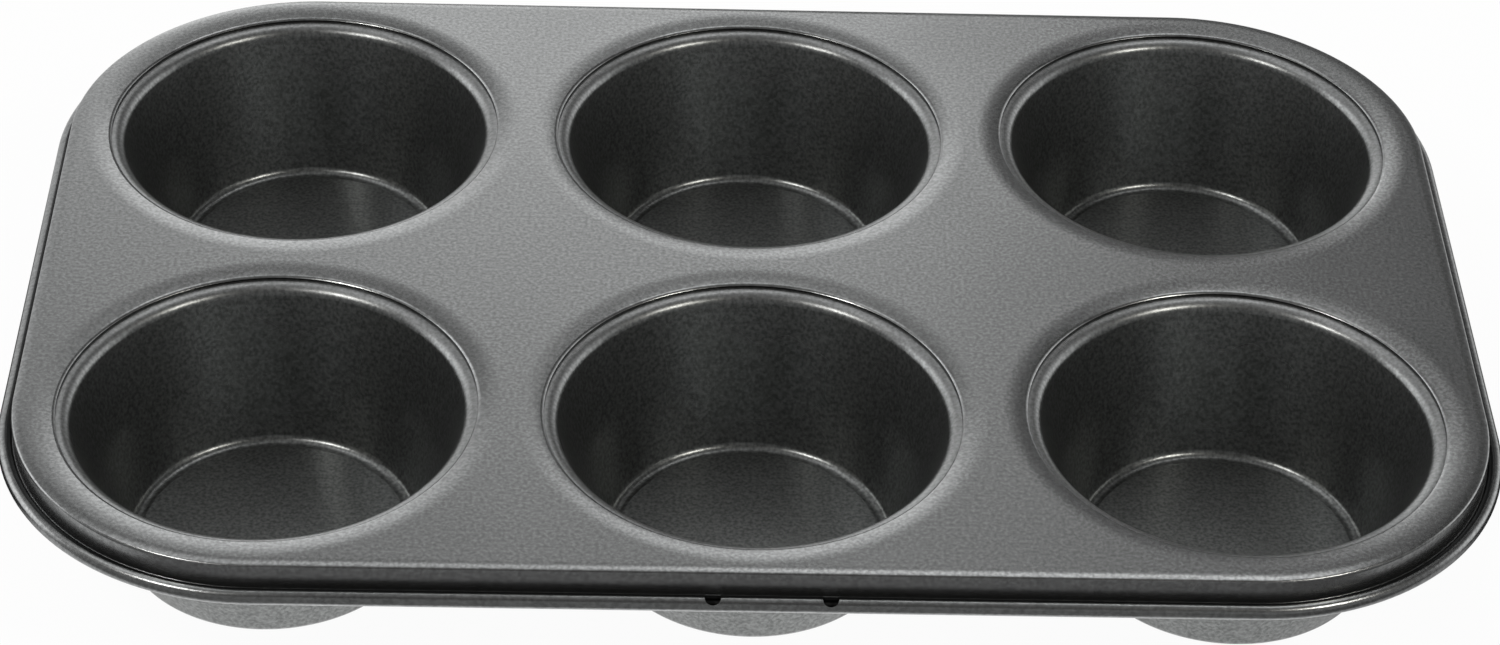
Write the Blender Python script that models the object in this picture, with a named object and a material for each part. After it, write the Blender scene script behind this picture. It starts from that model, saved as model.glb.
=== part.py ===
"""Six-cup muffin pan of coated sheet steel, resting on its cup bottoms.

A pressed frame carries six drawn cups. The frame's sheet rolls down over a shoulder to a skirt and is
curled outward round a stiffening wire. Each cup hangs by a flange that laps under the edge of its hole.
Metres, +Z up, +X along the row of three, the two hanging holes at the front (-Y). The origin is on the
table, under the middle of the pan.
"""

import math

import bmesh
import bpy
from mathutils import Matrix, Vector

MM = 0.001

# Sheet and clearances
SHEET = 0.5 * MM  # steel of the frame and of the cups
SEAT_GAP = 0.3 * MM  # left between two pieces that touch

# Cup, as seen from inside
COLUMNS = ("left", "middle", "right")
ROWS = ("front", "back")
MOUTH_RADIUS = 34.45 * MM  # narrowest point of the rounded lip
LIP_RADIUS = 2.4 * MM
CROWN_RADIUS = 4.0 * MM  # soft round between the flange and the lip, where it shows in the hole
CROWN_TURN = 12.0  # degrees that the crown bends down before the lip begins
FLANGE_LAP = 3.0 * MM  # hidden ring of the flange, under the frame
CUP_DEPTH = 30.25 * MM  # top of the frame down to the lowest ring of the floor
FLOOR_RADIUS = 24.95 * MM
FLOOR_FILLET = 1.8 * MM
STAND_RING = 0.6 * MM  # ring that the cup stands on
PANEL_SLOPE = 0.6 * MM  # width of the step up to the floor panel
PANEL_RISE = 0.35 * MM

# Frame top
WEB = 11.63 * MM  # between the holes of neighbouring cups
END_MARGIN = 7.0 * MM  # hole to the end of the flat top, along X
SIDE_MARGIN = 6.0 * MM  # hole to the end of the flat top, along Y
CORNER_MARGIN = 7.4 * MM  # what a corner's radius adds to the hole's
DISH_WIDTH = 3.5 * MM  # the top draws in softly towards each hole
DISH_DROP = 0.3 * MM

# Rolled rim
SHOULDER_RADIUS = 0.8 * MM
BEAD_DROP = 4.3 * MM  # top of the frame down to the top of the bead
COVE_RADIUS = 0.3 * MM  # groove between skirt and bead
BEAD_OUTSET = 1.4 * MM  # middle of the bead, out from the skirt
BEAD_RADIUS = 1.4 * MM
CURL_SWEEP = 280.0  # degrees of the curl, from the top of the bead round to its free edge
WIRE_BUTT_GAP = 0.6 * MM  # between the wire's two ends, at the back

# Hanging holes in the front of the rim
HANG_HOLE_DIAMETER = 2.4 * MM
HANG_HOLE_SPACING = 20.0 * MM
HANG_HOLE_OFFSET = 2.8 * MM  # middle of the pair, right of the pan's middle
HANG_HOLE_OUTSET = 1.25 * MM  # out from the skirt, so that the hole bites into the bead
HANG_HOLE_REACH = 2.0 * MM  # cutter above the bead

# Fineness
MOUTH_SEGMENTS = 36
CORNER_SEGMENTS = 10
SHOULDER_STEPS = 3
COVE_STEPS = 2
CURL_STEPS = 9
DISH_STEPS = 2
CROWN_STEPS = 1
LIP_STEPS = 2
FILLET_STEPS = 2
WIRE_RESOLUTION = 1
HOLE_SEGMENTS = 14

# Sizes that follow from those above
CROWN_RUN = (CROWN_RADIUS - LIP_RADIUS) * math.sin(math.radians(CROWN_TURN))
CROWN_FALL = (CROWN_RADIUS - LIP_RADIUS) * (1 - math.cos(math.radians(CROWN_TURN)))
LIP_CENTRE_RADIUS = MOUTH_RADIUS + LIP_RADIUS
HOLE_RADIUS = LIP_CENTRE_RADIUS + CROWN_RUN
FLANGE_RADIUS = HOLE_RADIUS + FLANGE_LAP
FLANGE_DROP = DISH_DROP + SHEET + SEAT_GAP
DECK_HEIGHT = CUP_DEPTH + SHEET
PITCH = 2 * HOLE_RADIUS + WEB
HALF_LENGTH = (len(COLUMNS) - 1) * PITCH / 2 + HOLE_RADIUS + END_MARGIN
HALF_WIDTH = (len(ROWS) - 1) * PITCH / 2 + HOLE_RADIUS + SIDE_MARGIN
CORNER_RADIUS = HOLE_RADIUS + CORNER_MARGIN
CURL_CENTRE = (SHOULDER_RADIUS + BEAD_OUTSET, -BEAD_DROP - BEAD_RADIUS)
# Where the groove's arc meets the bead's, as an angle from the middle of the bead
CURL_START = math.acos((COVE_RADIUS - BEAD_OUTSET) / (BEAD_RADIUS + COVE_RADIUS))
COVE_CENTRE = (
    SHOULDER_RADIUS + COVE_RADIUS,
    CURL_CENTRE[1] + (BEAD_RADIUS + COVE_RADIUS) * math.sin(CURL_START),
)
WIRE_RADIUS = BEAD_RADIUS - SHEET - SEAT_GAP


def clear_scene():
    for obj in list(bpy.data.objects):
        bpy.data.objects.remove(obj, do_unlink=True)


def coating(name, colour, roughness, metallic):
    material = bpy.data.materials.new(name)
    material.use_nodes = True
    shader = material.node_tree.nodes["Principled BSDF"]
    shader.inputs["Base Color"].default_value = (*colour, 1.0)
    shader.inputs["Roughness"].default_value = roughness
    shader.inputs["Metallic"].default_value = metallic
    return material


def arc(centre, radius, start, end, steps):
    """Points of an arc in a section (distance, height), with its angles in degrees."""
    angles = [math.radians(start + (end - start) * i / steps) for i in range(steps + 1)]
    return [(centre[0] + radius * math.cos(a), centre[1] + radius * math.sin(a)) for a in angles]


def cup_centres():
    """Name and place of every cup, row by row."""
    for row, row_name in enumerate(ROWS):
        for column, column_name in enumerate(COLUMNS):
            x = (column - (len(COLUMNS) - 1) / 2) * PITCH
            y = (row - (len(ROWS) - 1) / 2) * PITCH
            yield f"{row_name}_{column_name}", x, y


def outline_stations():
    """Stations round the frame, counter-clockwise: a corner's centre and a direction out of it."""
    stations = []
    for quarter in range(4):
        middle = math.radians(45 + 90 * quarter)
        centre = (
            math.copysign(HALF_LENGTH - CORNER_RADIUS, math.cos(middle)),
            math.copysign(HALF_WIDTH - CORNER_RADIUS, math.sin(middle)),
        )
        for step in range(CORNER_SEGMENTS + 1):
            angle = math.radians(90 * (quarter + step / CORNER_SEGMENTS))
            stations.append((centre, (math.cos(angle), math.sin(angle))))
    return stations


def outline_point(station, outset, height):
    """Point of a station this far outside the flat top's edge."""
    centre, direction = station
    reach = CORNER_RADIUS + outset
    return Vector((centre[0] + reach * direction[0], centre[1] + reach * direction[1], height))


def rim_section():
    """The rim's outer face, from the edge of the flat top to the free edge of the curl."""
    shoulder = arc((0.0, -SHOULDER_RADIUS), SHOULDER_RADIUS, 90, 0, SHOULDER_STEPS)
    meeting = math.degrees(CURL_START)
    cove = arc(COVE_CENTRE, COVE_RADIUS, 180, 180 + meeting, COVE_STEPS)
    curl = arc(CURL_CENTRE, BEAD_RADIUS, meeting, 90 - CURL_SWEEP, CURL_STEPS)
    return shoulder + cove + curl[1:]


def dish_section():
    """The soft draw-in round a hole, from the flat top to the hole's edge."""
    for step in range(DISH_STEPS + 1):
        share = step / DISH_STEPS
        yield HOLE_RADIUS + DISH_WIDTH * (1 - share), -DISH_DROP * share**2


def cup_section():
    """The cup's inner face, from the flange's outer edge to the middle of the floor."""
    crown_centre = (HOLE_RADIUS, -FLANGE_DROP - CROWN_RADIUS)
    lip_centre = (LIP_CENTRE_RADIUS, -FLANGE_DROP - LIP_RADIUS - CROWN_FALL)
    fillet_centre = (FLOOR_RADIUS, FLOOR_FILLET - CUP_DEPTH)
    run = lip_centre[0] - fillet_centre[0]
    rise = lip_centre[1] - fillet_centre[1]
    # The wall is the line that touches both arcs, the lip on one side and the fillet on the other.
    wall = math.degrees(
        math.atan2(rise, run) + math.asin((LIP_RADIUS + FLOOR_FILLET) / math.hypot(run, rise))
    )
    crown = arc(crown_centre, CROWN_RADIUS, 90, 90 + CROWN_TURN, CROWN_STEPS)
    lip = arc(lip_centre, LIP_RADIUS, 90 + CROWN_TURN, 90 + wall, LIP_STEPS)
    fillet = arc(fillet_centre, FLOOR_FILLET, wall - 90, -90, FILLET_STEPS)
    panel_foot = FLOOR_RADIUS - STAND_RING
    panel_height = PANEL_RISE - CUP_DEPTH
    panel = [(panel_foot, -CUP_DEPTH), (panel_foot - PANEL_SLOPE, panel_height), (0.0, panel_height)]
    return [(FLANGE_RADIUS, -FLANGE_DROP)] + crown + lip[1:] + fillet + panel


def bridge(mesh, outer, inner):
    """Quads between two closed rings of as many vertices, facing up where outer is the wider one."""
    for i in range(len(outer)):
        after = (i + 1) % len(outer)
        mesh.faces.new((outer[i], outer[after], inner[after], inner[i]))


def ring_edges(mesh, ring):
    return [mesh.edges.get((ring[i - 1], ring[i])) for i in range(len(ring))]


def hole_rings(mesh, x, y):
    """The draw-in round one hole. Returns its outer ring."""
    rings = []
    for radius, height in dish_section():
        turns = [2 * math.pi * i / MOUTH_SEGMENTS for i in range(MOUTH_SEGMENTS)]
        rings.append(
            [mesh.verts.new((x + radius * math.cos(t), y + radius * math.sin(t), height)) for t in turns]
        )
    for outer, inner in zip(rings, rings[1:]):
        bridge(mesh, outer, inner)
    return rings[0]


def rim_rings(mesh):
    """Shoulder, skirt and curl, swept round the outline. Returns the ring at the flat top."""
    stations = outline_stations()
    rings = [
        [mesh.verts.new(outline_point(station, outset, height)) for station in stations]
        for outset, height in rim_section()
    ]
    for inner, outer in zip(rings, rings[1:]):
        bridge(mesh, outer, inner)
    return rings[0]


def shell(obj, thickness):
    """Gives an open skin its sheet thickness, on the side away from its normals."""
    solidify = obj.modifiers.new("sheet", "SOLIDIFY")
    solidify.thickness = thickness
    solidify.offset = -1
    solidify.use_even_offset = True
    solidify.use_quality_normals = True


def steady_shading(obj):
    """Keeps the flat faces flat-looking beside the rounded ones."""
    weighted = obj.modifiers.new("weighted_normals", "WEIGHTED_NORMAL")
    weighted.keep_sharp = True


def place(name, data, material, location=(0.0, 0.0, DECK_HEIGHT)):
    obj = bpy.data.objects.new(name, data)
    bpy.context.scene.collection.objects.link(obj)
    obj.location = location
    if material and not data.materials:
        data.materials.append(material)
    return obj


def hang_hole_cutter(side):
    """An upright drill through the groove and the bead's top, on one side of the pair's middle."""
    name = "hang_hole_cutter_left" if side < 0 else "hang_hole_cutter_right"
    depth = HANG_HOLE_REACH + 2 * SHEET + SEAT_GAP
    middle = (
        HANG_HOLE_OFFSET + side * HANG_HOLE_SPACING / 2,
        -HALF_WIDTH - SHOULDER_RADIUS - HANG_HOLE_OUTSET,
        HANG_HOLE_REACH - BEAD_DROP - depth / 2,
    )
    data = bpy.data.meshes.new(name)
    mesh = bmesh.new()
    bmesh.ops.create_cone(
        mesh,
        cap_ends=True,
        segments=HOLE_SEGMENTS,
        radius1=HANG_HOLE_DIAMETER / 2,
        radius2=HANG_HOLE_DIAMETER / 2,
        depth=depth,
        matrix=Matrix.Translation(middle),
    )
    mesh.to_mesh(data)
    mesh.free()
    cutter = place(name, data, None)
    cutter.hide_render = True
    cutter.display_type = "WIRE"
    return cutter


def make_frame(material):
    """The pressed frame: flat top with six holes, shoulder, skirt and curled bead, in one sheet."""
    mesh = bmesh.new()
    boundaries = [rim_rings(mesh)]
    boundaries += [hole_rings(mesh, x, y) for _, x, y in cup_centres()]
    edges = [edge for ring in boundaries for edge in ring_edges(mesh, ring)]
    bmesh.ops.triangle_fill(mesh, use_beauty=True, edges=edges, normal=(0, 0, 1))
    data = bpy.data.meshes.new("frame")
    mesh.to_mesh(data)
    mesh.free()
    data.shade_smooth()
    frame = place("frame", data, material)
    shell(frame, SHEET)
    for side in (-1, 1):
        cut = frame.modifiers.new("hang_hole", "BOOLEAN")
        cut.operation = "DIFFERENCE"
        cut.object = hang_hole_cutter(side)
    steady_shading(frame)
    return frame


def make_cups(material):
    """Six drawn cups of one shape: a turned profile with the thickness of the sheet."""
    profile = bmesh.new()
    points = [profile.verts.new((radius, 0.0, height)) for radius, height in cup_section()]
    for first, second in zip(points, points[1:]):
        profile.edges.new((first, second))
    data = bpy.data.meshes.new("cup")
    profile.to_mesh(data)
    profile.free()
    cups = []
    for name, x, y in cup_centres():
        cup = place(f"cup_{name}", data, material, (x, y, DECK_HEIGHT))
        turn = cup.modifiers.new("turned", "SCREW")
        turn.steps = MOUTH_SEGMENTS
        turn.render_steps = MOUTH_SEGMENTS
        turn.use_merge_vertices = True
        turn.merge_threshold = 0.01 * MM
        turn.use_smooth_shade = True
        turn.use_normal_flip = True
        shell(cup, SHEET)
        steady_shading(cup)
        cups.append(cup)
    return cups


def make_rim_wire(material):
    """The wire that the bead is curled round. Its ends meet in the middle of the back."""
    outset, height = CURL_CENTRE
    stations = outline_stations()
    # The back runs between the first and the second corner, so the wire starts and ends there.
    back = CORNER_SEGMENTS + 1
    route = [outline_point(station, outset, height) for station in stations[back:] + stations[:back]]
    end_y = route[0].y
    route.insert(0, Vector((-WIRE_BUTT_GAP / 2, end_y, height)))
    route.append(Vector((WIRE_BUTT_GAP / 2, end_y, height)))
    data = bpy.data.curves.new("rim_wire", "CURVE")
    data.dimensions = "3D"
    data.bevel_depth = WIRE_RADIUS
    data.bevel_resolution = WIRE_RESOLUTION
    data.use_fill_caps = True
    spline = data.splines.new("POLY")
    spline.points.add(len(route) - 1)
    for point, place_of in zip(spline.points, route):
        point.co = (*place_of, 1.0)
    return place("rim_wire", data, material)


def main():
    clear_scene()
    make_frame(coating("frame_coating", (0.115, 0.118, 0.122), 0.42, 0.35))
    make_cups(coating("cup_coating", (0.045, 0.046, 0.047), 0.38, 0.35))
    make_rim_wire(coating("wire_steel", (0.42, 0.42, 0.43), 0.35, 1.0))


main()
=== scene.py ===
"""Looks of the six-cup muffin pan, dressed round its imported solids. Metres, +Z up.

The frame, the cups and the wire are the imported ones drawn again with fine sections, so that their round
stretches are smooth. The frame and the cups get a coated finish with a fine grain, the wire one of steel.
"""

import math

import bmesh
import bpy
from mathutils import Matrix, Vector
from mathutils.geometry import delaunay_2d_cdt


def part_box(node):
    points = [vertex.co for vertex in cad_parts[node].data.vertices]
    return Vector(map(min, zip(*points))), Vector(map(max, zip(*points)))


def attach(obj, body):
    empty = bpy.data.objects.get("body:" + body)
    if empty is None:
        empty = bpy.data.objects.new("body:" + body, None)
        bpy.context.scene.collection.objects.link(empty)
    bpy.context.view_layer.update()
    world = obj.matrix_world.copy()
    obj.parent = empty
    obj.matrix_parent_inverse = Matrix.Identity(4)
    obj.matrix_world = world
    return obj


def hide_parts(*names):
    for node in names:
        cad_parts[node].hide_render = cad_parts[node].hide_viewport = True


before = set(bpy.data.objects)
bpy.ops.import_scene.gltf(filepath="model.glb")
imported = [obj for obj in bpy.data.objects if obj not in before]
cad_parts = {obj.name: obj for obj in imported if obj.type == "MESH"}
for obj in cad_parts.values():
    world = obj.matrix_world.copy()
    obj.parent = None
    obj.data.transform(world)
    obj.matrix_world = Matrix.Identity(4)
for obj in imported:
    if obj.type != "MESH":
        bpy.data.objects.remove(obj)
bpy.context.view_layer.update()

MM = 0.001

# Sheet and clearances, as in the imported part
SHEET = 0.5 * MM
SEAT_GAP = 0.3 * MM

# Cup section, with its turn in degrees
LIP_RADIUS = 2.4 * MM
CROWN_RADIUS = 4.0 * MM
CROWN_TURN = 12.0
FLANGE_LAP = 3.0 * MM
FLOOR_RADIUS = 24.95 * MM
FLOOR_FILLET = 1.8 * MM
STAND_RING = 0.6 * MM
PANEL_SLOPE = 0.6 * MM
PANEL_RISE = 0.35 * MM

# Frame section, with its turns in degrees. The brow, the shoulder, the draw-in round the holes, the groove
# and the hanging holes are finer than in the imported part
DISH_WIDTH = 4.6 * MM
DISH_TURN = 8.0
ROLL_RADIUS = 1.0 * MM
ROLL_TURN = 48.0
CORNER_MARGIN = 7.4 * MM
SKIRT_OUTSET = 0.8 * MM
BROW_RADIUS = 6.0 * MM
BROW_TURN = 16.0
SHOULDER_RADIUS = 0.6 * MM
BEAD_DROP = 4.3 * MM
COVE_RADIUS = 0.1 * MM
BEAD_OUTSET = 1.4 * MM
BEAD_RADIUS = 1.4 * MM
CURL_SWEEP = 280.0
WIRE_BUTT_GAP = 0.6 * MM

# Hanging holes. The drill's middle line passes through the aim, an outset and a height, and the flat is how
# far from that line its side towards the skirt lies
HANG_HOLE_DIAMETER = 2.8 * MM
HANG_HOLE_SPACING = 20.0 * MM
HANG_HOLE_OFFSET = 2.8 * MM
HANG_HOLE_AIM = (1.57 * MM, -4.98 * MM)
HANG_HOLE_TILT = math.radians(45)
HANG_HOLE_SINK = 0.4 * MM
HANG_HOLE_FLAT = 0.6 * MM
HANG_HOLE_REACH = 3.0 * MM

# Fineness
BROW_STEPS = 8
SHOULDER_STEPS = 10
COVE_STEPS = 10
CURL_STEPS = 36
DISH_STEPS = 8
ROLL_STEPS = 8
CROWN_STEPS = 4
LIP_STEPS = 16
FILLET_STEPS = 14
MOUTH_SEGMENTS = 180
CORNER_SEGMENTS = 40
WIRE_RESOLUTION = 5
HOLE_SEGMENTS = 46
SHARP_EDGE = math.radians(35)  # faces that meet at more than this are drawn with a crisp edge
WELD = 0.01 * MM  # points nearer than this are merged
CLOSEST = 0.0001 * MM  # points nearer than this count as one in the flat top
INSIDE_CONSTRAINTS = 1  # the kind of result that is asked for in filling the flat top

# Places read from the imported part
_, frame_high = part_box("frame")
DECK_HEIGHT = frame_high.z
CUPS = sorted(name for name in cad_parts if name.startswith("cup_"))
CUP_LOW, CUP_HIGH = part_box(CUPS[0])
FLANGE_RADIUS = (CUP_HIGH.x - CUP_LOW.x) / 2
HOLE_RADIUS = FLANGE_RADIUS - FLANGE_LAP
DISH_RADIUS = HOLE_RADIUS + DISH_WIDTH
LIP_CENTRE_RADIUS = HOLE_RADIUS - (CROWN_RADIUS - LIP_RADIUS) * math.sin(math.radians(CROWN_TURN))
CROWN_FALL = (CROWN_RADIUS - LIP_RADIUS) * (1 - math.cos(math.radians(CROWN_TURN)))
FLANGE_DROP = DECK_HEIGHT - CUP_HIGH.z
CUP_DEPTH = DECK_HEIGHT - SHEET
CORNER_RADIUS = HOLE_RADIUS + CORNER_MARGIN
CURL_CENTRE = (SKIRT_OUTSET + BEAD_OUTSET, -BEAD_DROP - BEAD_RADIUS)
RIM_REACH = CURL_CENTRE[0] + BEAD_RADIUS
HALF_LENGTH = frame_high.x - RIM_REACH
HALF_WIDTH = frame_high.y - RIM_REACH
WIRE_RADIUS = BEAD_RADIUS - SHEET - SEAT_GAP

# Camera, fitted to the photograph
IMAGE_WIDTH = 1500
SENSOR_WIDTH = 36.0
FOCAL_PIXELS = 4055.7
CAMERA_PLACE = Vector((-0.0184, -0.6030, 0.48115))
CAMERA_PITCH = math.radians(37.565)
CAMERA_YAW = math.radians(-1.76)
CAMERA_ROLL = math.radians(2.05)


# Sections

def arc(centre, radius, start, end, steps):
    """Points of an arc in a section (distance, height), with its angles in degrees."""
    angles = [math.radians(start + (end - start) * i / steps) for i in range(steps + 1)]
    return [(centre[0] + radius * math.cos(a), centre[1] + radius * math.sin(a)) for a in angles]


def rim_section():
    """The rim's outer face, from the edge of the flat top to the free edge of the curl."""
    turn = math.radians(BROW_TURN)
    shoulder_outset = SKIRT_OUTSET - SHOULDER_RADIUS
    apart = BROW_RADIUS - SHOULDER_RADIUS
    brow_centre = (shoulder_outset - apart * math.sin(turn), -BROW_RADIUS)
    shoulder_centre = (shoulder_outset, apart * math.cos(turn) - BROW_RADIUS)
    # The groove's arc touches the skirt and the bead, at this angle seen from the middle of the bead
    reach = BEAD_RADIUS + COVE_RADIUS
    meeting = math.acos((COVE_RADIUS - BEAD_OUTSET) / reach)
    cove_centre = (SKIRT_OUTSET + COVE_RADIUS, CURL_CENTRE[1] + reach * math.sin(meeting))
    brow = arc(brow_centre, BROW_RADIUS, 90, 90 - BROW_TURN, BROW_STEPS)
    shoulder = arc(shoulder_centre, SHOULDER_RADIUS, 90 - BROW_TURN, 0, SHOULDER_STEPS)
    cove = arc(cove_centre, COVE_RADIUS, 180, 180 + math.degrees(meeting), COVE_STEPS)
    curl = arc(CURL_CENTRE, BEAD_RADIUS, math.degrees(meeting), 90 - CURL_SWEEP, CURL_STEPS)
    return brow + shoulder[1:] + cove + curl[1:]


def dish_section():
    """The soft draw-in round a hole, from the flat top to the hole's rolled edge."""
    start, end = math.radians(DISH_TURN), math.radians(ROLL_TURN)
    roll_run = ROLL_RADIUS * (math.sin(end) - math.sin(start))
    dish_run = DISH_WIDTH - roll_run
    dish_drop = dish_run * math.tan(start) / 2
    shares = [step / DISH_STEPS for step in range(DISH_STEPS)]
    dish = [(DISH_RADIUS - dish_run * share, -dish_drop * share**2) for share in shares]
    centre = (HOLE_RADIUS + ROLL_RADIUS * math.sin(end), -dish_drop - ROLL_RADIUS * math.cos(start))
    return dish + arc(centre, ROLL_RADIUS, 90 + DISH_TURN, 90 + ROLL_TURN, ROLL_STEPS)


def cup_section():
    """The cup's inner face, from the flange's outer edge to the middle of the floor."""
    crown_centre = (HOLE_RADIUS, -FLANGE_DROP - CROWN_RADIUS)
    lip_centre = (LIP_CENTRE_RADIUS, -FLANGE_DROP - LIP_RADIUS - CROWN_FALL)
    fillet_centre = (FLOOR_RADIUS, FLOOR_FILLET - CUP_DEPTH)
    # The wall touches the lip's arc and the fillet's
    run = lip_centre[0] - fillet_centre[0]
    rise = lip_centre[1] - fillet_centre[1]
    wall = math.degrees(
        math.atan2(rise, run) + math.asin((LIP_RADIUS + FLOOR_FILLET) / math.hypot(run, rise))
    )
    crown = arc(crown_centre, CROWN_RADIUS, 90, 90 + CROWN_TURN, CROWN_STEPS)
    lip = arc(lip_centre, LIP_RADIUS, 90 + CROWN_TURN, 90 + wall, LIP_STEPS)
    fillet = arc(fillet_centre, FLOOR_FILLET, wall - 90, -90, FILLET_STEPS)
    panel_foot = FLOOR_RADIUS - STAND_RING
    panel_height = PANEL_RISE - CUP_DEPTH
    panel = [(panel_foot, -CUP_DEPTH), (panel_foot - PANEL_SLOPE, panel_height), (0.0, panel_height)]
    return [(FLANGE_RADIUS, -FLANGE_DROP)] + crown + lip[1:] + fillet + panel


# Frame

def outline_stations():
    """Stations round the frame, counter-clockwise: a corner's centre and a direction out of it."""
    stations = []
    for quarter in range(4):
        middle = math.radians(45 + 90 * quarter)
        centre = (
            math.copysign(HALF_LENGTH - CORNER_RADIUS, math.cos(middle)),
            math.copysign(HALF_WIDTH - CORNER_RADIUS, math.sin(middle)),
        )
        for step in range(CORNER_SEGMENTS + 1):
            angle = math.radians(90 * (quarter + step / CORNER_SEGMENTS))
            stations.append((centre, (math.cos(angle), math.sin(angle))))
    return stations


def outline_point(station, outset, height):
    """Point of a station this far outside the flat top's edge."""
    centre, direction = station
    reach = CORNER_RADIUS + outset
    return Vector((centre[0] + reach * direction[0], centre[1] + reach * direction[1], height))


def bridge(mesh, outer, inner):
    """Quads between two closed rings of as many vertices, facing up where outer is the wider one."""
    for i in range(len(outer)):
        after = (i + 1) % len(outer)
        mesh.faces.new((outer[i], outer[after], inner[after], inner[i]))


def hole_rings(mesh, x, y):
    """The draw-in round one hole. Returns its outer ring."""
    turns = [2 * math.pi * i / MOUTH_SEGMENTS for i in range(MOUTH_SEGMENTS)]
    rings = [
        [mesh.verts.new((x + radius * math.cos(t), y + radius * math.sin(t), height)) for t in turns]
        for radius, height in dish_section()
    ]
    for outer, inner in zip(rings, rings[1:]):
        bridge(mesh, outer, inner)
    return rings[0]


def rim_rings(mesh):
    """Brow, shoulder, skirt and curl, swept round the outline. Returns the ring at the flat top."""
    stations = outline_stations()
    rings = [
        [mesh.verts.new(outline_point(station, outset, height)) for station in stations]
        for outset, height in rim_section()
    ]
    for inner, outer in zip(rings, rings[1:]):
        bridge(mesh, outer, inner)
    return rings[0]


def fill_top(mesh, outline, holes):
    """Triangles of the flat top, from the outline's ring to each hole, given as its middle and its ring."""
    verts = []
    edges = []
    for ring in [outline] + [ring for middle, ring in holes]:
        first = len(verts)
        edges += [(first + i, first + (i + 1) % len(ring)) for i in range(len(ring))]
        verts += ring
    flat = [vert.co.xy for vert in verts]
    points, _, triangles, sources, _, _ = delaunay_2d_cdt(flat, edges, [], INSIDE_CONSTRAINTS, CLOSEST)
    for triangle in triangles:
        centre = sum((points[i] for i in triangle), Vector((0.0, 0.0))) / 3
        if all((centre - middle).length > DISH_RADIUS for middle, ring in holes):
            mesh.faces.new([verts[sources[i][0]] for i in triangle])


def shell(obj):
    """Gives an open skin its sheet thickness, on the side away from its normals."""
    solidify = obj.modifiers.new("sheet", "SOLIDIFY")
    solidify.thickness = SHEET
    solidify.offset = -1
    solidify.use_even_offset = True
    solidify.use_quality_normals = True


def place(name, data, material, location=(0.0, 0.0, 0.0)):
    obj = bpy.data.objects.new(name, data)
    bpy.context.scene.collection.objects.link(obj)
    obj.location = location
    data.materials.append(material)
    return obj


def dress(obj, node):
    """Puts a drawn-again piece in its node's place."""
    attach(obj, "root")
    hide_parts(node)


def cup_place(name):
    low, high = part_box(name)
    return (low.x + high.x) / 2, (low.y + high.y) / 2


def hang_hole_cutter(side):
    """A tilted drill through the inner side of the bead's top, flat towards the skirt."""
    outset, height = HANG_HOLE_AIM
    aim = Vector((HANG_HOLE_OFFSET + side * HANG_HOLE_SPACING / 2, -HALF_WIDTH - outset, height))
    turn = Matrix.Rotation(HANG_HOLE_TILT, 4, "X")
    middle = Vector((0.0, 0.0, (HANG_HOLE_REACH - HANG_HOLE_SINK) / 2))
    data = bpy.data.meshes.new("hang_hole_cutter")
    mesh = bmesh.new()
    bmesh.ops.create_cone(
        mesh,
        cap_ends=True,
        segments=HOLE_SEGMENTS,
        radius1=HANG_HOLE_DIAMETER / 2,
        radius2=HANG_HOLE_DIAMETER / 2,
        depth=HANG_HOLE_REACH + HANG_HOLE_SINK,
    )
    for vert in mesh.verts:
        vert.co.y = min(vert.co.y, HANG_HOLE_FLAT)
    bmesh.ops.remove_doubles(mesh, verts=mesh.verts, dist=WELD)
    mesh.transform(Matrix.Translation(aim) @ turn @ Matrix.Translation(middle))
    mesh.to_mesh(data)
    mesh.free()
    cutter = bpy.data.objects.new("hang_hole_cutter", data)
    bpy.context.scene.collection.objects.link(cutter)
    cutter.location.z = DECK_HEIGHT
    return cutter


def make_frame(material):
    """The pressed frame: flat top with six holes, shoulder, skirt and curled bead, in one sheet."""
    mesh = bmesh.new()
    holes = [(Vector(cup_place(name)), hole_rings(mesh, *cup_place(name))) for name in CUPS]
    fill_top(mesh, rim_rings(mesh), holes)
    data = bpy.data.meshes.new("coated_frame")
    mesh.to_mesh(data)
    mesh.free()
    data.shade_smooth()
    obj = place("coated_frame", data, material, (0.0, 0.0, DECK_HEIGHT))
    shell(obj)
    cutters = [hang_hole_cutter(side) for side in (-1, 1)]
    for cutter in cutters:
        cut = obj.modifiers.new("hang_hole", "BOOLEAN")
        cut.operation = "DIFFERENCE"
        cut.object = cutter
    steady_shading(obj)
    for cutter in cutters:
        bpy.data.objects.remove(cutter)
    dress(obj, "frame")


def bake_modifiers(obj):
    """Turns what the modifiers make into the piece's own mesh."""
    graph = bpy.context.evaluated_depsgraph_get()
    data = bpy.data.meshes.new_from_object(obj.evaluated_get(graph), depsgraph=graph)
    obj.modifiers.clear()
    obj.data = data


def steady_shading(obj):
    """Bakes the piece, marks its crisp edges and keeps flat faces flat-looking beside rounded ones."""
    bake_modifiers(obj)
    obj.data.set_sharp_from_angle(angle=SHARP_EDGE)
    weighted = obj.modifiers.new("weighted_normals", "WEIGHTED_NORMAL")
    weighted.keep_sharp = True
    bake_modifiers(obj)


# Cups and wire

def make_cups(material):
    """Six drawn cups of one shape: a turned profile with the thickness of the sheet."""
    section = cup_section()
    for name in CUPS:
        profile = bmesh.new()
        points = [profile.verts.new((radius, 0.0, height)) for radius, height in section]
        for first, second in zip(points, points[1:]):
            profile.edges.new((first, second))
        data = bpy.data.meshes.new(f"coated_{name}")
        profile.to_mesh(data)
        profile.free()
        cup = place(f"coated_{name}", data, material, (*cup_place(name), DECK_HEIGHT))
        turn = cup.modifiers.new("turned", "SCREW")
        turn.steps = MOUTH_SEGMENTS
        turn.render_steps = MOUTH_SEGMENTS
        turn.use_merge_vertices = True
        turn.merge_threshold = WELD
        turn.use_smooth_shade = True
        turn.use_normal_flip = True
        shell(cup)
        steady_shading(cup)
        dress(cup, name)


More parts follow.
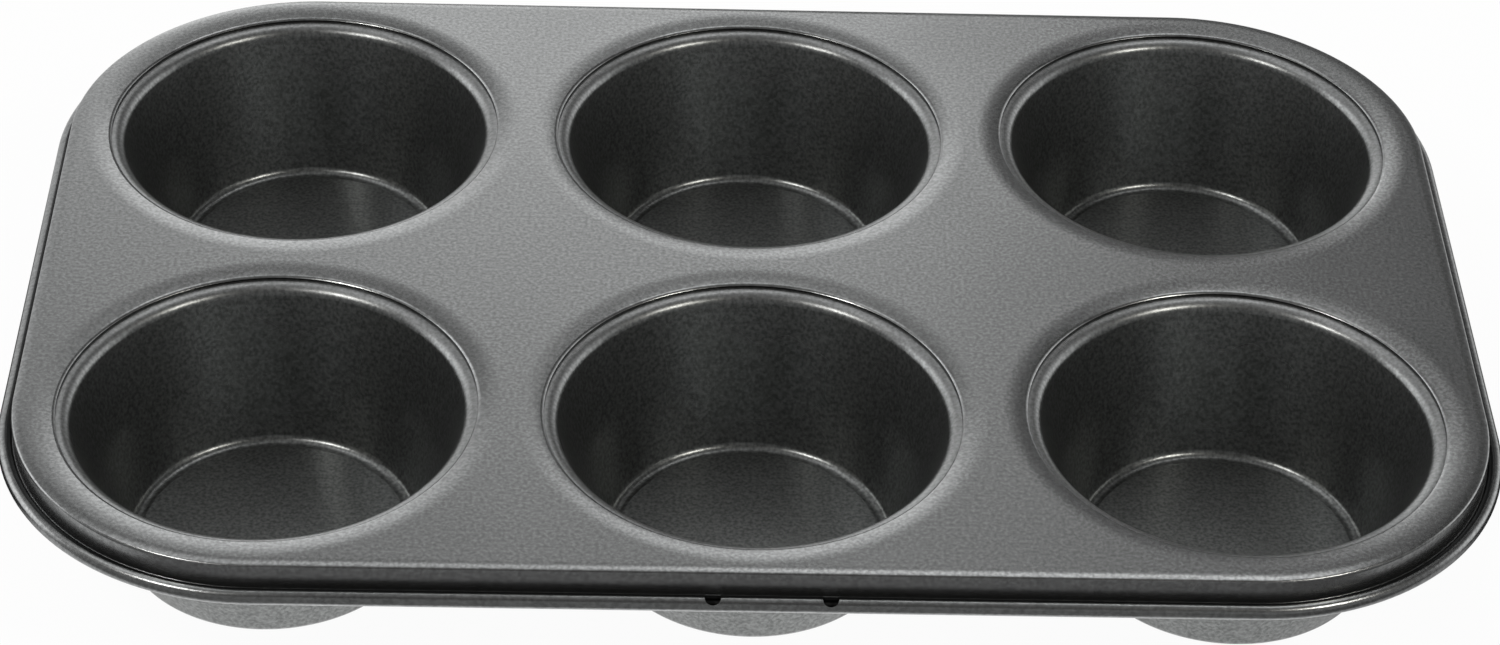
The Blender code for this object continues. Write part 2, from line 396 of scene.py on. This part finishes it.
def make_wire(material):
    """The wire that the bead is curled round. Its ends meet in the middle of the back."""
    outset, height = CURL_CENTRE
    stations = outline_stations()
    back = CORNER_SEGMENTS + 1
    route = [outline_point(station, outset, height) for station in stations[back:] + stations[:back]]
    end_y = route[0].y
    route.insert(0, Vector((-WIRE_BUTT_GAP / 2, end_y, height)))
    route.append(Vector((WIRE_BUTT_GAP / 2, end_y, height)))
    data = bpy.data.curves.new("steel_rim_wire", "CURVE")
    data.dimensions = "3D"
    data.bevel_depth = WIRE_RADIUS
    data.bevel_resolution = WIRE_RESOLUTION
    data.use_fill_caps = True
    spline = data.splines.new("POLY")
    spline.points.add(len(route) - 1)
    for point, place_of in zip(spline.points, route):
        point.co = (*place_of, 1.0)
    wire = place("steel_rim_wire", data, material, (0.0, 0.0, DECK_HEIGHT))
    dress(wire, "rim_wire")


# Materials

# Tones of each finish, from the dark to the light of its grain
FRAME_TONES = ((0.19, 0.194, 0.194), (0.285, 0.291, 0.291))
# The groove's tones, darker than the frame's coating, are a painted shade
GROOVE_SHADE_TONES = ((0.02, 0.021, 0.021), (0.03, 0.031, 0.031))
CUP_TONES = ((0.112, 0.116, 0.114), (0.222, 0.229, 0.226))
# The lip's tones, lighter than the cup's, are a painted sheen
PAINTED_LIP_SHEEN_TONES = FRAME_TONES
STEEL_TONES = ((0.36, 0.36, 0.37), (0.48, 0.48, 0.49))
# Painted shade on the wire where the hanging holes show it
HOLE_SHADE_TONES = ((0.01, 0.01, 0.01), (0.03, 0.03, 0.03))

# Gloss of the coatings
FRAME_METALLIC = 0.92
FRAME_ROUGHNESS = 0.24
CUP_METALLIC = 0.90
CUP_ROUGHNESS = 0.28
ROUGHNESS_SPREAD = 0.02

# Textures, as scales and details of noise, and how far they stand out
GRAIN_SCALE = 1500.0
PEEL_SCALE = 700.0
COATING_DETAIL = 1.0
CLOUD_SCALE = 30.0
RELIEF = 0.02 * MM
GRAIN_STRENGTH = 0.45
PEEL_STRENGTH = 0.22
WIRE_GRAIN_SCALE = 900.0
WIRE_GRAIN_DETAIL = 4.0
WIRE_ROUGHNESS = (0.28, 0.42)

# Painted sheen: heights over which a cup's coating goes from its wall's tone to the lip's lighter one
LIP_SHEEN_FOOT = -2.4 * MM
LIP_SHEEN_TOP = -1.4 * MM
LIP_ROUGHER = 0.07

# Painted shade in the groove: the frame's coating is darker where shade falls on the bead's side of the
# groove, by height and by how far outside
GROOVE_SHADE_HEIGHT = (-3.9 * MM, -3.5 * MM)
GROOVE_SHADE_FROM = (0.85 * MM, 0.95 * MM)
GROOVE_SHADE_TO = (2.1 * MM, 2.3 * MM)

# How far along the wire from a hanging hole's middle its painted shade fades
HOLE_SHADE_REACH = (0.6 * HANG_HOLE_DIAMETER, HANG_HOLE_DIAMETER)


def new_material(name):
    material = bpy.data.materials.new(name)
    material.use_nodes = True
    return material, material.node_tree, material.node_tree.nodes["Principled BSDF"]


def object_coordinates(tree):
    return tree.nodes.new("ShaderNodeTexCoord").outputs["Object"]


def axes_of(tree, vector):
    """The X, Y and Z of a vector."""
    node = tree.nodes.new("ShaderNodeSeparateXYZ")
    tree.links.new(vector, node.inputs["Vector"])
    return [node.outputs[axis] for axis in "XYZ"]


def math_node(tree, operation, *values):
    node = tree.nodes.new("ShaderNodeMath")
    node.operation = operation
    for socket, value in zip(node.inputs, values):
        if isinstance(value, bpy.types.NodeSocket):
            tree.links.new(value, socket)
        else:
            socket.default_value = value
    return node.outputs["Value"]


def noise(tree, coordinates, scale, detail=2.0):
    node = tree.nodes.new("ShaderNodeTexNoise")
    node.inputs["Scale"].default_value = scale
    node.inputs["Detail"].default_value = detail
    tree.links.new(coordinates, node.inputs["Vector"])
    return node.outputs["Fac"]


def ranged(tree, value, low, high, from_low=0.3, from_high=0.7):
    """A value stretched to a range. Without its own limits it is taken to be noise."""
    node = tree.nodes.new("ShaderNodeMapRange")
    node.inputs["From Min"].default_value = from_low
    node.inputs["From Max"].default_value = from_high
    node.inputs["To Min"].default_value = low
    node.inputs["To Max"].default_value = high
    tree.links.new(value, node.inputs["Value"])
    return node.outputs["Result"]


def shade(tree, value, dark, light):
    """A colour between two, by a value from 0 to 1."""
    node = tree.nodes.new("ShaderNodeMix")
    node.data_type = "RGBA"
    node.inputs["A"].default_value = (*dark, 1.0)
    node.inputs["B"].default_value = (*light, 1.0)
    tree.links.new(value, node.inputs["Factor"])
    return node.outputs["Result"]


def blend(tree, value, first, second):
    """A mixture of two linked colours, by a value from 0 to 1."""
    node = tree.nodes.new("ShaderNodeMix")
    node.data_type = "RGBA"
    tree.links.new(value, node.inputs["Factor"])
    tree.links.new(first, node.inputs["A"])
    tree.links.new(second, node.inputs["B"])
    return node.outputs["Result"]


def bump(tree, height, distance, strength, under=None):
    node = tree.nodes.new("ShaderNodeBump")
    node.inputs["Distance"].default_value = distance
    node.inputs["Strength"].default_value = strength
    tree.links.new(height, node.inputs["Height"])
    if under is not None:
        tree.links.new(under, node.inputs["Normal"])
    return node.outputs["Normal"]


def groove_shade_mask(tree, coordinates):
    """Where the groove's painted shade goes: 1 on the bead's side of the groove and 0 elsewhere, with soft
    borders.
    """
    x, y, z = axes_of(tree, coordinates)
    square = 0.0
    for place_of, half in ((x, HALF_LENGTH), (y, HALF_WIDTH)):
        past = math_node(tree, "SUBTRACT", math_node(tree, "ABSOLUTE", place_of), half - CORNER_RADIUS)
        past = math_node(tree, "MAXIMUM", past, 0.0)
        square = math_node(tree, "MULTIPLY_ADD", past, past, square)
    outset = math_node(tree, "SUBTRACT", math_node(tree, "SQRT", square), CORNER_RADIUS)
    low = ranged(tree, z, 1.0, 0.0, *GROOVE_SHADE_HEIGHT)
    past_skirt = ranged(tree, outset, 0.0, 1.0, *GROOVE_SHADE_FROM)
    inner = ranged(tree, outset, 1.0, 0.0, *GROOVE_SHADE_TO)
    return math_node(tree, "MULTIPLY", low, math_node(tree, "MULTIPLY", past_skirt, inner))


def coating(name, tones, metallic, roughness, lip=None, groove_shade=None):
    """Sprayed dark coating: fine grain, orange peel and a faint cloudiness.

    A lip gets lighter tones, a painted sheen, and a groove darker ones, a painted shade.
    """
    material, tree, shader = new_material(name)
    coordinates = object_coordinates(tree)
    grain = noise(tree, coordinates, GRAIN_SCALE, COATING_DETAIL)
    peel = noise(tree, coordinates, PEEL_SCALE, COATING_DETAIL)
    cloud = noise(tree, coordinates, CLOUD_SCALE)
    speckle = ranged(tree, grain, 0.0, 1.0)
    colour = shade(tree, speckle, *tones)
    gloss = ranged(tree, cloud, roughness - ROUGHNESS_SPREAD, roughness + ROUGHNESS_SPREAD)
    # Painted sheen: the lip is drawn in lighter tones, and made rougher
    if lip:
        height = ranged(tree, axes_of(tree, coordinates)[2], 0.0, 1.0, LIP_SHEEN_FOOT, LIP_SHEEN_TOP)
        colour = blend(tree, height, colour, shade(tree, speckle, *lip))
        gloss = math_node(tree, "MULTIPLY_ADD", height, LIP_ROUGHER, gloss)
    # Painted shade: the groove is drawn in darker tones
    if groove_shade:
        colour = blend(tree, groove_shade_mask(tree, coordinates), colour, shade(tree, speckle, *groove_shade))
    tree.links.new(colour, shader.inputs["Base Color"])
    tree.links.new(gloss, shader.inputs["Roughness"])
    shader.inputs["Metallic"].default_value = metallic
    normal = bump(tree, peel, RELIEF, PEEL_STRENGTH)
    normal = bump(tree, grain, RELIEF, GRAIN_STRENGTH, normal)
    tree.links.new(normal, shader.inputs["Normal"])
    return material


def wire_steel():
    """Drawn wire with a fine grain, darker near the hanging holes' places along X: a painted shade for the
    dark seen through the holes.
    """
    material, tree, shader = new_material("wire_steel")
    coordinates = object_coordinates(tree)
    grain = noise(tree, coordinates, WIRE_GRAIN_SCALE, WIRE_GRAIN_DETAIL)
    speckle = ranged(tree, grain, 0.0, 1.0)
    from_middle = math_node(tree, "SUBTRACT", axes_of(tree, coordinates)[0], HANG_HOLE_OFFSET)
    from_hole = math_node(
        tree, "SUBTRACT", math_node(tree, "ABSOLUTE", from_middle), HANG_HOLE_SPACING / 2
    )
    # Painted shade: the wire goes dark near each hanging hole
    unshaded = ranged(tree, math_node(tree, "ABSOLUTE", from_hole), 0.0, 1.0, *HOLE_SHADE_REACH)
    steel = shade(tree, speckle, *STEEL_TONES)
    hole_shade = shade(tree, speckle, *HOLE_SHADE_TONES)
    tree.links.new(blend(tree, unshaded, hole_shade, steel), shader.inputs["Base Color"])
    tree.links.new(ranged(tree, grain, *WIRE_ROUGHNESS), shader.inputs["Roughness"])
    shader.inputs["Metallic"].default_value = 1.0
    return material


# Floor, light and camera

FLOOR_HALF = 1.6
FLOOR_WHITE = 0.9
FLOOR_ROUGHNESS = 0.9
FLOOR_GLOW = 0.96

# How bright the table is in reflections, by place along X and along Y (place, level)
TABLE_LIGHT = 1.4
TABLE_HALF = 0.40
TABLE_SIDE_STOPS = (
    (-0.40, 0.8), (-0.13, 0.8), (-0.09, 1.0), (0.06, 1.0), (0.09, 0.85), (0.13, 0.5), (0.40, 0.4),
)
TABLE_DEPTH_STOPS = (
    (-0.40, 0.2), (-0.106, 0.2), (-0.095, 0.9), (-0.068, 0.9), (-0.045, 0.0),
    (0.06, 0.0), (0.10, 0.7), (0.40, 0.9),
)

# Light of the room, as stops (part of the direction, level). The wall behind the pan goes by the direction's
# height and by its x, which is slanted with the height. The room in front goes by the height alone. The
# direction's y tells the two apart
ROOM_LIGHT = 1.8
ROOM_BACK_STOPS = (
    (0.0, 1.0), (0.47, 1.1), (0.54, 1.22), (0.57, 0.95), (0.60, 0.44), (0.65, 0.20), (0.72, 0.26),
    (0.80, 0.35), (0.86, 1.4), (0.93, 1.9), (0.945, 0.5), (1.0, 0.3),
)
ROOM_SIDE_STOPS = (
    (-1.0, 1.6), (-0.75, 1.3), (-0.48, 0.6), (-0.28, 0.45), (-0.14, 0.58), (-0.08, 0.88), (0.0, 1.06),
    (0.06, 1.04), (0.125, 1.12), (0.15, 0.10), (0.5, 0.08), (0.75, 0.4), (1.0, 0.9),
)
ROOM_SLANT = 0.5
ROOM_SLANT_HEIGHT = 0.6
ROOM_FRONT_STOPS = ((0.0, 0.16), (0.45, 0.16), (0.65, 0.05), (0.85, 0.04), (0.95, 0.1), (1.0, 0.18))
ROOM_DEPTH_STOPS = ((-1.0, 0.0), (-0.1, 0.0), (0.2, 1.0), (1.0, 1.0))

# Soft lights: the place, the power in watts and the colour of each
SOFTBOX_SIZE = 0.16
SOFTBOXES = {
    "right_softbox": ((0.503, -0.441, 0.687), 1.8, (1.0, 0.97, 0.90)),
    "left_softbox": ((-0.527, -0.397, 0.783), 2.4, (1.0, 0.98, 0.95)),
}


def stops(tree, value, points, low=0.0, high=1.0):
    """Grey level that follows a value through a list of stops (value, level)."""
    ramp = tree.nodes.new("ShaderNodeValToRGB")
    elements = ramp.color_ramp.elements
    while len(elements) < len(points):
        elements.new(0.5)
    for element, (place_of, level) in zip(elements, points):
        element.position = (place_of - low) / (high - low)
        element.color = (level, level, level, 1.0)
    tree.links.new(ranged(tree, value, 0.0, 1.0, low, high), ramp.inputs["Fac"])
    return ramp.outputs["Color"]


def table_in_mirror(tree):
    """Brightness of the table where the pan's surfaces reflect it: dark under the pan."""
    x, y, _ = axes_of(tree, object_coordinates(tree))
    across = stops(tree, x, TABLE_SIDE_STOPS, -TABLE_HALF, TABLE_HALF)
    along = stops(tree, y, TABLE_DEPTH_STOPS, -TABLE_HALF, TABLE_HALF)
    return math_node(tree, "MULTIPLY", math_node(tree, "MULTIPLY", across, along), TABLE_LIGHT)


def make_floor():
    """White table top. It glows for the camera and for mirrored rays, and the rest of it takes the shadow."""
    data = bpy.data.meshes.new("floor")
    mesh = bmesh.new()
    bmesh.ops.create_grid(mesh, x_segments=1, y_segments=1, size=FLOOR_HALF)
    mesh.to_mesh(data)
    mesh.free()
    material, tree, shader = new_material("floor_white")
    shader.inputs["Base Color"].default_value = (FLOOR_WHITE, FLOOR_WHITE, FLOOR_WHITE, 1.0)
    shader.inputs["Roughness"].default_value = FLOOR_ROUGHNESS
    shader.inputs["Specular IOR Level"].default_value = 0.0
    path = tree.nodes.new("ShaderNodeLightPath")
    mirrored = math_node(
        tree, "MAXIMUM", path.outputs["Is Glossy Ray"], path.outputs["Is Transmission Ray"]
    )
    shown = math_node(tree, "MULTIPLY", path.outputs["Is Camera Ray"], FLOOR_GLOW)
    strength = tree.nodes.new("ShaderNodeMix")
    strength.inputs["A"].default_value = 1.0
    tree.links.new(table_in_mirror(tree), strength.inputs["B"])
    tree.links.new(mirrored, strength.inputs["Factor"])
    glow = tree.nodes.new("ShaderNodeEmission")
    tree.links.new(strength.outputs["Result"], glow.inputs["Strength"])
    mix = tree.nodes.new("ShaderNodeMixShader")
    tree.links.new(math_node(tree, "MAXIMUM", shown, mirrored), mix.inputs["Fac"])
    tree.links.new(shader.outputs["BSDF"], mix.inputs[1])
    tree.links.new(glow.outputs["Emission"], mix.inputs[2])
    tree.links.new(mix.outputs["Shader"], tree.nodes["Material Output"].inputs["Surface"])
    floor = place("floor", data, material)


def make_world():
    """Studio room: a bright wall and a high softbox behind the pan, dim overhead and behind the camera."""
    world = bpy.data.worlds.new("studio")
    bpy.context.scene.world = world
    world.use_nodes = True
    tree = world.node_tree
    x, y, z = axes_of(tree, tree.nodes.new("ShaderNodeTexCoord").outputs["Generated"])
    behind = stops(tree, y, ROOM_DEPTH_STOPS, -1.0, 1.0)
    in_front = math_node(tree, "SUBTRACT", 1.0, behind)
    below = math_node(tree, "SUBTRACT", ROOM_SLANT_HEIGHT, z)
    sideways = math_node(tree, "ADD", x, math_node(tree, "MULTIPLY", below, ROOM_SLANT))
    back = math_node(tree, "MULTIPLY", stops(tree, z, ROOM_BACK_STOPS), behind)
    back = math_node(tree, "MULTIPLY", back, stops(tree, sideways, ROOM_SIDE_STOPS, -1.0, 1.0))
    front = math_node(tree, "MULTIPLY", stops(tree, z, ROOM_FRONT_STOPS), in_front)
    room = math_node(tree, "MULTIPLY", math_node(tree, "ADD", back, front), ROOM_LIGHT)
    path = tree.nodes.new("ShaderNodeLightPath")
    shown = tree.nodes.new("ShaderNodeMix")
    shown.inputs["B"].default_value = 1.0
    tree.links.new(room, shown.inputs["A"])
    tree.links.new(path.outputs["Is Camera Ray"], shown.inputs["Factor"])
    tree.links.new(shown.outputs["Result"], tree.nodes["Background"].inputs["Color"])


def make_lights():
    """Square soft lights that look at the pan."""
    for name, (place_of, power, colour) in SOFTBOXES.items():
        data = bpy.data.lights.new(name, "AREA")
        data.shape = "SQUARE"
        data.size = SOFTBOX_SIZE
        data.energy = power
        data.color = colour
        light = bpy.data.objects.new(name, data)
        bpy.context.scene.collection.objects.link(light)
        light.location = place_of
        light.rotation_euler = (-Vector(place_of)).to_track_quat("-Z", "Y").to_euler()


def make_camera():
    data = bpy.data.cameras.new("camera")
    data.sensor_width = SENSOR_WIDTH
    data.lens = FOCAL_PIXELS * SENSOR_WIDTH / IMAGE_WIDTH
    camera = bpy.data.objects.new("camera", data)
    bpy.context.scene.collection.objects.link(camera)
    level = Matrix.Rotation(math.radians(90), 4, "X")
    camera.matrix_world = (
        Matrix.Translation(CAMERA_PLACE)
        @ Matrix.Rotation(CAMERA_YAW, 4, "Z")
        @ Matrix.Rotation(-CAMERA_PITCH, 4, "X")
        @ level
        @ Matrix.Rotation(CAMERA_ROLL, 4, "Z")
    )
    bpy.context.scene.camera = camera


make_camera()
bpy.context.scene.view_settings.view_transform = "Standard"
make_world()
make_lights()
make_floor()
# The frame's groove is darkened with a painted shade
make_frame(coating("frame_coating", FRAME_TONES, FRAME_METALLIC, FRAME_ROUGHNESS, groove_shade=GROOVE_SHADE_TONES))
# The cups' lips are lightened with a painted sheen
make_cups(coating("cup_coating", CUP_TONES, CUP_METALLIC, CUP_ROUGHNESS, lip=PAINTED_LIP_SHEEN_TONES))
make_wire(wire_steel())
